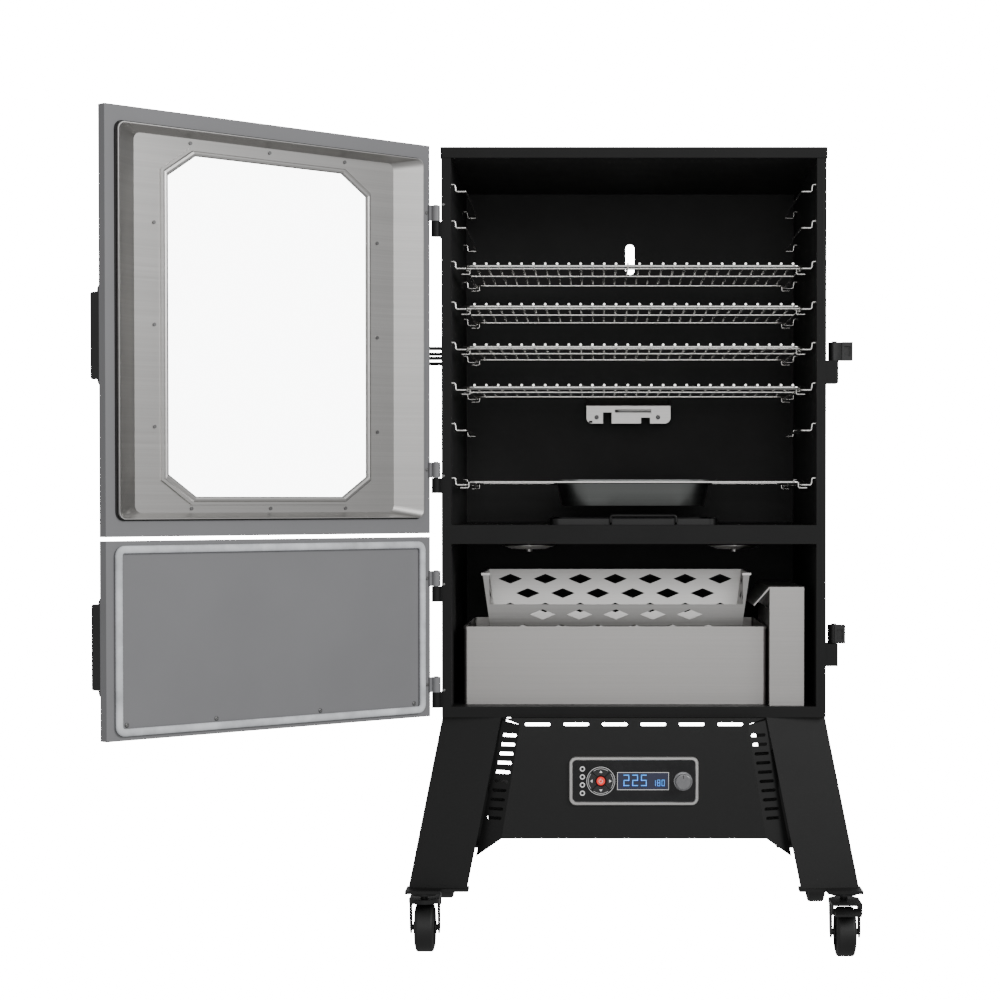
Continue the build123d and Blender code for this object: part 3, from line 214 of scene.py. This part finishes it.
def moulded(name, colour, rough, grain=0.3, scale=900.0):
    """Moulded plastic or rubber with a fine grain."""
    mat, tree, shader = new_shader(name, rough)
    patch = noise(tree, 40.0)
    tree.links.new(ramp(tree, patch, [c * 0.8 for c in colour], [c * 1.25 for c in colour]),
                   shader.inputs["Base Color"])
    tree.links.new(span(tree, noise(tree, 130.0), rough - 0.06, rough + 0.08), shader.inputs["Roughness"])
    bump(tree, shader, noise(tree, scale, detail=2.0), grain, 0.00015)
    return mat


def clear_glass():
    mat, tree, shader = new_shader("clear_glass", 0.02)
    shader.inputs["Base Color"].default_value = (0.97, 0.98, 0.98, 1)
    shader.inputs["Transmission Weight"].default_value = 1.0
    shader.inputs["IOR"].default_value = 1.45
    tree.links.new(span(tree, noise(tree, 5.0), 0.0, 0.035), shader.inputs["Roughness"])
    return mat


def glowing(name, colour, strength):
    """Lit legend or lamp with an uneven brightness."""
    mat, tree, shader = new_shader(name, 0.4)
    shader.inputs["Base Color"].default_value = (*colour, 1)
    shader.inputs["Emission Color"].default_value = (*colour, 1)
    tree.links.new(span(tree, noise(tree, 300.0), strength * 0.8, strength * 1.1),
                   shader.inputs["Emission Strength"])
    return mat


LEVEL_LINES = (0.03, 0.03, 6.0)
MATERIALS = {
    "black_enamel": enamel("black_enamel", (0.011, 0.011, 0.011), 0.5, shine=0.2),
    "stand_paint": enamel("stand_paint", (0.010, 0.010, 0.010), 0.42, peel=0.35, shine=0.32),
    "grey_enamel": enamel("grey_enamel", (0.235, 0.235, 0.244), 0.42),
    "stainless": brushed("stainless", (0.57, 0.562, 0.55), 0.36, LEVEL_LINES),
    "chrome_wire": brushed("chrome_wire", (0.78, 0.77, 0.75), 0.18, (1, 1, 1), depth=0.05),
    "board": moulded("board", (0.6, 0.55, 0.42), 0.9, grain=0.8, scale=500.0),
    "glass": clear_glass(),
    "black_plastic": moulded("black_plastic", (0.009, 0.009, 0.009), 0.42),
    "panel_plastic": moulded("panel_plastic", (0.010, 0.010, 0.011), 0.16, grain=0.05),
    "display": glowing("display", (0.022, 0.026, 0.06), 0.2),
    "key_plastic": moulded("key_plastic", (0.02, 0.02, 0.021), 0.3, grain=0.1),
    "power_red": glowing("power_red", (0.75, 0.03, 0.02), 0.8),
    "wheel_rubber": moulded("wheel_rubber", (0.010, 0.010, 0.010), 0.55, grain=0.5, scale=600.0),
    "fork_steel": enamel("fork_steel", (0.010, 0.010, 0.010), 0.38, shine=0.35),
    "rope": moulded("rope", (0.72, 0.74, 0.77), 0.9, grain=0.9, scale=1500.0),
    "legend": glowing("legend", (0.85, 0.85, 0.85), 0.3),
    "digits": glowing("digits", (0.06, 0.33, 0.9), 1.6),
    "seal": moulded("seal", (0.02, 0.02, 0.02), 0.7, grain=0.4),
    # Chamber liners: the body's black enamel in a lighter colour (0.026 against 0.011) that stands in for
    # light reaching the interior; this is painted fill light.
    "liner_enamel_painted_fill": enamel("liner_enamel_painted_fill", (0.026, 0.026, 0.026), 0.55, shine=0.2),
    "box_steel": brushed("box_steel", (0.41, 0.40, 0.39), 0.38, LEVEL_LINES),
    "pan_steel": brushed("pan_steel", (0.23, 0.24, 0.235), 0.3, LEVEL_LINES),
    "knob_steel": brushed("knob_steel", (0.30, 0.30, 0.31), 0.25, (1, 1, 1)),
    "dark_steel": brushed("dark_steel", (0.035, 0.035, 0.035), 0.4, LEVEL_LINES),
    "screw": brushed("screw", (0.22, 0.22, 0.22), 0.4, (1, 1, 1)),
}


OWN_LOOK = {"upper_door_screws": "screw", "drip_tray": "dark_steel", "water_pan": "pan_steel",
            "heater_box": "box_steel", "air_duct": "box_steel", "chamber_liners": "liner_enamel_painted_fill",
            "control_knob": "knob_steel"}


def dress_nodes():
    for name, node in NODES.items():
        look = OWN_LOOK.get(name, NODE_SLOT[name])
        node.data.materials.clear()
        node.data.materials.append(MATERIALS[look])


# --- Building blocks for detail pieces ---------------------------------------
def piece(name, form, body, look, bevel=0.0, smooth=True):
    """Turn a bmesh into an object that rides on a body."""
    bmesh.ops.recalc_face_normals(form, faces=form.faces)
    data = bpy.data.meshes.new(name)
    form.to_mesh(data)
    form.free()
    data.materials.append(MATERIALS[look])
    for face in data.polygons:
        face.use_smooth = smooth
    obj = bpy.data.objects.new(name, data)
    bpy.context.scene.collection.objects.link(obj)
    if bevel:
        edge = obj.modifiers.new("bevel", "BEVEL")
        edge.width = bevel
        edge.segments = 2
        edge.limit_method = "ANGLE"
    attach(obj, body)
    return obj


def add_prism(form, points, basis, depth):
    """Extruded outline: points are 2-D in the plane of basis, depth runs along its third axis."""
    base = [form.verts.new(basis @ Vector((u, v, 0))) for u, v in points]
    top = [form.verts.new(basis @ Vector((u, v, depth))) for u, v in points]
    count = len(points)
    form.faces.new(base)
    form.faces.new(top)
    for i in range(count):
        j = (i + 1) % count
        form.faces.new((base[i], base[j], top[j], top[i]))


def add_ring(form, centre, u_axis, v_axis, radius, tube, steps=48, sides=10):
    """Torus about the normal of two unit axes."""
    normal = u_axis.cross(v_axis)
    loops = []
    for i in range(steps):
        turn = 2 * pi * i / steps
        out = u_axis * cos(turn) + v_axis * sin(turn)
        loops.append([form.verts.new(centre + out * (radius + tube * cos(2 * pi * k / sides))
                                     + normal * tube * sin(2 * pi * k / sides)) for k in range(sides)])
    for i in range(steps):
        near, far = loops[i], loops[(i + 1) % steps]
        for k in range(sides):
            m = (k + 1) % sides
            form.faces.new((near[k], far[k], far[m], near[m]))


def add_screw(form, centre, normal, radius, height):
    """Domed screw head with a cross recess formed by four lobes on its top."""
    side = normal.orthogonal().normalized()
    up = normal.cross(side)
    rows = []
    profile = ((1.0, 0.0), (1.0, 0.45), (0.82, 0.85), (0.5, 1.0), (0.2, 0.75))
    for share, rise in profile:
        ring = []
        for i in range(16):
            turn = 2 * pi * i / 16
            dip = 0.35 if share == 0.5 and i % 4 == 0 else 0.0
            ring.append(form.verts.new(centre + (side * cos(turn) + up * sin(turn)) * radius * share
                                       + normal * height * (rise - dip)))
        rows.append(ring)
    form.faces.new(rows[0])
    form.faces.new(rows[-1])
    for near, far in zip(rows, rows[1:]):
        for i in range(16):
            j = (i + 1) % 16
            form.faces.new((near[i], near[j], far[j], far[i]))


def door_point(s, z, out):
    return HINGE + ALONG * s + OUTWARD * (out + DOOR_GAP) + Vector((0, 0, z))


def front_basis(x, y, z):
    """Plane facing the user: first axis +X, second +Z, third towards the user."""
    return Matrix(((1, 0, 0, x), (0, 0, -1, y), (0, 1, 0, z), (0, 0, 0, 1)))


# --- Door details ------------------------------------------------------------
def rounded_path(half_w, half_h, corner, per_corner=10, spacing=0.0022, side_steps=None):
    """Points around a rounded rectangle, evenly spaced along its straight sides."""
    points = []
    centres = ((half_w - corner, half_h - corner), (corner - half_w, half_h - corner),
               (corner - half_w, corner - half_h), (half_w - corner, corner - half_h))
    for index, (cx, cy) in enumerate(centres):
        for k in range(per_corner + 1):
            turn = pi / 2 * (index + k / per_corner)
            points.append((cx + corner * cos(turn), cy + corner * sin(turn)))
        nx, ny = centres[(index + 1) % 4]
        turn = pi / 2 * (index + 1)
        end = (nx + corner * cos(turn), ny + corner * sin(turn))
        start = points[-1]
        length = ((end[0] - start[0]) ** 2 + (end[1] - start[1]) ** 2) ** 0.5
        steps = side_steps or int(length / spacing)
        for k in range(1, steps):
            share = k / steps
            points.append((start[0] + (end[0] - start[0]) * share, start[1] + (end[1] - start[1]) * share))
    return points


def rope_gasket():
    """Braided rope seal of the lower door, pressed flat where it meets the panel."""
    lo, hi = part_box("lower_door_gasket")
    mid_z = (lo[2] + hi[2]) / 2
    half_h = (hi[2] - lo[2]) / 2
    half_w = 0.239
    width, proud, sides = 0.0095, 0.0062, 14
    path = rounded_path(half_w - width / 2, half_h - width / 2, 0.0075)
    form = bmesh.new()
    loops = []
    for i, (u, v) in enumerate(path):
        before, after = path[i - 1], path[(i + 1) % len(path)]
        tangent = Vector((after[0] - before[0], after[1] - before[1])).normalized()
        normal = Vector((tangent.y, -tangent.x))
        loop = []
        for k in range(sides):
            turn = 2 * pi * k / sides
            braid = 1.0 + 0.05 * sin(3 * turn + i * 1.35) * sin(3 * turn - i * 1.35)
            across = cos(turn) * width / 2 * braid * 0.97
            height = max(0.0004, proud / 2 + sin(turn) * proud / 2 * braid)
            spot = Vector((u, v)) + normal * across
            loop.append(form.verts.new(door_point(DOOR_MID + spot.x, mid_z + spot.y, -height)))
        loops.append(loop)
    for i, loop in enumerate(loops):
        after = loops[(i + 1) % len(loops)]
        for k in range(sides):
            m = (k + 1) % sides
            form.faces.new((loop[k], after[k], after[m], loop[m]))
    rope = piece("rope_gasket", form, "lower_door", "rope")
    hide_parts("lower_door_gasket")


def rim_shadow_seal():
    """Black lip seal around the rim of the upper door's liner: a dark band laid where the raised rim casts
    its shadow on the grey face, so it is painted shade.
    """
    lo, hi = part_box("upper_door_liner")
    mid_z, half_h = (lo[2] + hi[2]) / 2, (hi[2] - lo[2]) / 2
    half_w = 0.235
    form = bmesh.new()
    rows = []
    for grow, out in ((0.0004, 0.0), (0.0004, -0.0020), (0.0009, -0.0026), (0.0015, -0.0020), (0.0018, 0.0)):
        path = rounded_path(half_w + grow, half_h + grow, 0.009 + grow, per_corner=6, side_steps=6)
        rows.append([form.verts.new(door_point(DOOR_MID + u, mid_z + v, out)) for u, v in path])
    rows.append(rows[0])
    for near, far in zip(rows, rows[1:]):
        for i in range(len(near)):
            j = (i + 1) % len(near)
            form.faces.new((near[i], near[j], far[j], far[i]))
    # The black seal band here is painted shade for the shadow of the liner's rim.
    piece("rim_shadow_lip_seal", form, "upper_door", "seal")


def window_bead():
    """Raised bead rolled into the window frame around its eight-sided opening."""
    lo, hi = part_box("window_glass")
    mid_z, half_h = (lo[2] + hi[2]) / 2, 0.2055
    half_w, cut_w, cut_h, proud = 0.1555, 0.0405, 0.0265, 0.0013
    corners = [(half_w, half_h - cut_h), (half_w - cut_w, half_h), (cut_w - half_w, half_h),
               (-half_w, half_h - cut_h), (-half_w, cut_h - half_h), (cut_w - half_w, -half_h),
               (half_w - cut_w, -half_h), (half_w, cut_h - half_h)]
    face_out = inner_depth("window_frame")
    form = bmesh.new()
    rows = []
    for grow, rise in ((0.985, 0.0), (0.992, proud), (1.006, proud * 1.3), (1.02, proud), (1.027, 0.0)):
        rows.append([form.verts.new(door_point(DOOR_MID + u * grow, mid_z + v * (1 + (grow - 1) * 0.75),
                                               face_out - rise)) for u, v in corners])
    rows.append(rows[0])
    for near, far in zip(rows, rows[1:]):
        for i in range(8):
            j = (i + 1) % 8
            form.faces.new((near[i], near[j], far[j], far[i]))
    piece("window_bead", form, "upper_door", "stainless", smooth=False)


def inner_depth(name):
    """Distance from the door's inner face to a node's inner face, along OUTWARD."""
    node = NODES[name]
    return min((node.matrix_world @ v.co - HINGE).dot(OUTWARD) for v in node.data.vertices) - DOOR_GAP


def door_screws():
    form = bmesh.new()
    for s in LOWER_PANEL_SCREW_S:
        add_screw(form, door_point(s, LOWER_PANEL_SCREW_Z, 0.0), -OUTWARD, 0.0028, 0.0014)
    piece("lower_panel_screws", form, "lower_door", "screw")
    for body, heights in HINGE_SCREW_HEIGHTS.items():
        form = bmesh.new()
        for z in heights:
            for s in HINGE_SCREW_S:
                add_screw(form, door_point(s, z, 0.0), -OUTWARD, 0.0022, 0.0012)
        piece(body + "_hinge_screws", form, body, "screw")


# --- Control panel details ---------------------------------------------------
def panel_marks():
    right, up = Vector((1, 0, 0)), Vector((0, 0, 1))
    form = bmesh.new()
    for z in INDICATOR_HEIGHTS:
        add_ring(form, Vector((INDICATOR_X, FACE_Y, z)), right, up, 0.0027, 0.0007)
    add_ring(form, Vector((PAD_X, FACE_Y, PANEL_Z)), right, up, PAD_RING_R, 0.0003, steps=72)
    piece("indicator_rings", form, "cabinet", "legend")
    for k, name in enumerate(("pad_key_right", "pad_key_up", "pad_key_left", "pad_key_down")):
        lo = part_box(name)[0]
        form = bmesh.new()
        turn = pi / 2 * k
        spin = Matrix.Rotation(turn, 4, "Z")
        place = front_basis(PAD_X, lo[1], PANEL_Z)
        arrow = [(0.0108, 0.0022), (0.0108, -0.0022), (0.0138, 0.0)]
        add_prism(form, arrow, place @ spin, 0.0003)
        arc = [(0.0163 * cos(a), 0.0163 * sin(a)) for a in [(-0.62 + 0.124 * i) for i in range(11)]]
        inner = [(u * 0.975, v * 0.975) for u, v in reversed(arc)]
        add_prism(form, arc + inner, place @ spin, 0.0003)
        piece(name + "_mark", form, name, "legend")
    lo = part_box("power_button")[0]
    form = bmesh.new()
    arc = [(0.0026 * cos(a), 0.0026 * sin(a)) for a in [(2.2 + 0.245 * i) for i in range(21)]]
    inner = [(u * 0.78, v * 0.78) for u, v in reversed(arc)]
    place = front_basis(PAD_X, lo[1], PANEL_Z)
    add_prism(form, arc + inner, place, 0.00025)
    bar = [(-0.0003, 0.0008), (0.0003, 0.0008), (0.0003, 0.0033), (-0.0003, 0.0033)]
    add_prism(form, bar, place, 0.00025)
    piece("power_mark", form, "power_button", "legend")


def digit_bars(form, text, x, z, w, h, place_y):
    """Seven-segment figures made of small bars."""
    t = h * 0.11
    spots = {"a": (0, h, w, t), "g": (0, h / 2, w, t), "d": (0, 0, w, t), "f": (0, h / 2, t, h / 2),
             "e": (0, 0, t, h / 2), "b": (w - t, h / 2, t, h / 2), "c": (w - t, 0, t, h / 2)}
    for index, sign in enumerate(text):
        for key in SEGMENTS[sign]:
            u, v, du, dv = spots[key]
            u += index * w * 1.45
            inset = t * 0.15
            corners = [(u + inset, v + inset), (u + du - inset, v + inset), (u + du - inset, v + dv - inset),
                       (u + inset, v + dv - inset)]
            add_prism(form, corners, front_basis(x, place_y, z), 0.0002)


def display_border():
    """Thin bright line around the display, made of four bars."""
    lo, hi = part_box("display_window")
    line, rise = 0.0006, 0.0002
    form = bmesh.new()
    for x0, x1, z0, z1 in ((lo[0], hi[0], lo[2], lo[2] + line), (lo[0], hi[0], hi[2] - line, hi[2]),
                           (lo[0], lo[0] + line, lo[2] + line, hi[2] - line),
                           (hi[0] - line, hi[0], lo[2] + line, hi[2] - line)):
        add_prism(form, [(x0, z0), (x1, z0), (x1, z1), (x0, z1)], front_basis(0, lo[1], 0), rise)
    piece("display_border", form, "cabinet", "legend", smooth=False)


def display_figures():
    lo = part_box("display_window")[0]
    form = bmesh.new()
    digit_bars(form, "225", lo[0] + 0.008, lo[2] + 0.005, 0.0078, 0.0135, lo[1])
    digit_bars(form, "180", lo[0] + 0.046, lo[2] + 0.005, 0.0040, 0.0075, lo[1])
    piece("display_figures", form, "cabinet", "digits")


def knob_ridges():
    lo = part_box("control_knob")[0]
    form = bmesh.new()
    for i in range(36):
        turn = 2 * pi * i / 36
        mid_u, mid_v = KNOB_R * cos(turn), KNOB_R * sin(turn)
        ridge = [(mid_u + 0.00035 * cos(turn + a), mid_v + 0.00035 * sin(turn + a))
                 for a in (0, pi / 2, pi, 3 * pi / 2)]
        add_prism(form, ridge, front_basis(KNOB_X, lo[1] + 0.0115, PANEL_Z), 0.0095)
    add_prism(form, [(-0.0004, 0.0045), (0.0004, 0.0045), (0.0004, 0.0085), (-0.0004, 0.0085)],
              front_basis(KNOB_X, lo[1], PANEL_Z), 0.0002)
    piece("knob_ridges", form, "control_knob", "black_plastic", smooth=False)


# --- Cabinet details ---------------------------------------------------------
def cabinet_screws():
    form = bmesh.new()
    toward_user = Vector((0, -1, 0))
    guard_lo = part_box("probe_guard")[0]
    for x in (-0.0485, 0.040):
        add_screw(form, Vector((x, guard_lo[1] + 0.0001, GUARD_SCREW_Z)), toward_user, 0.0032, 0.0016)
    for z in WALL_SCREW_HEIGHTS:
        add_screw(form, Vector((WALL_SCREW_X, FRONT_Y, z)), toward_user, 0.002, 0.001)
    piece("cabinet_screws", form, "cabinet", "screw")


def wheel_treads():
    """Two shallow ribs around each tyre."""
    for corner in ("front_left", "front_right", "rear_left", "rear_right"):
        lo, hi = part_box(corner + "_wheel")
        centre = Vector([(a + b) / 2 for a, b in zip(lo, hi)])
        form = bmesh.new()
        for dx in (-0.0135, 0.0135):
            add_ring(form, centre + Vector((dx, 0, 0)), Vector((0, 1, 0)), Vector((0, 0, 1)), 0.0075, 0.0012,
                     steps=32)
        for dx in (-0.0122, 0.0122):
            add_ring(form, centre + Vector((dx, 0, 0)), Vector((0, 1, 0)), Vector((0, 0, 1)), 0.0245, 0.0009,
                     steps=64)
        piece(corner + "_tread", form, corner + "_wheel", "wheel_rubber")


make_camera()
make_stage()
dress_nodes()
rope_gasket()
rim_shadow_seal()
window_bead()
door_screws()
panel_marks()
display_border()
display_figures()
knob_ridges()
cabinet_screws()
wheel_treads()
